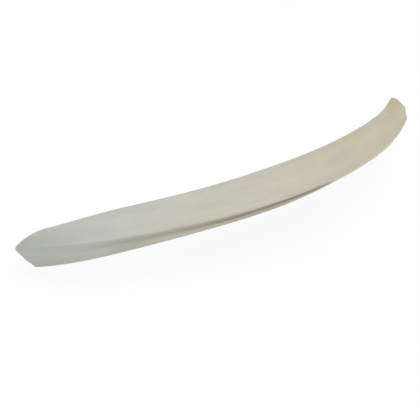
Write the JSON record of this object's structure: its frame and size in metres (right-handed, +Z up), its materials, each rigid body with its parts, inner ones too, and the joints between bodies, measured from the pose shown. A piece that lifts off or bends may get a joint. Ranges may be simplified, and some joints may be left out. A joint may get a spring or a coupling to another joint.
{
  "type": "trunk spoiler",
  "caption": "Bowed ducktail spoiler shell for a car trunk lid, with a rounded kicked-up lip, a hollow scoop beneath it and ends that wrap forward.",
  "frame": {"origin": "middle of the front edge, on its upper corner", "axes": "+X to the right across the car, +Y forward towards the windscreen, +Z up"},
  "size_m": [1.3457, 0.3193, 0.1638],
  "materials": {
    "gelcoat": "satin, unpainted"
  },
  "bodies": {
    "root": {"spoiler_shell": "gelcoat"}
  },
  "joints": []
}
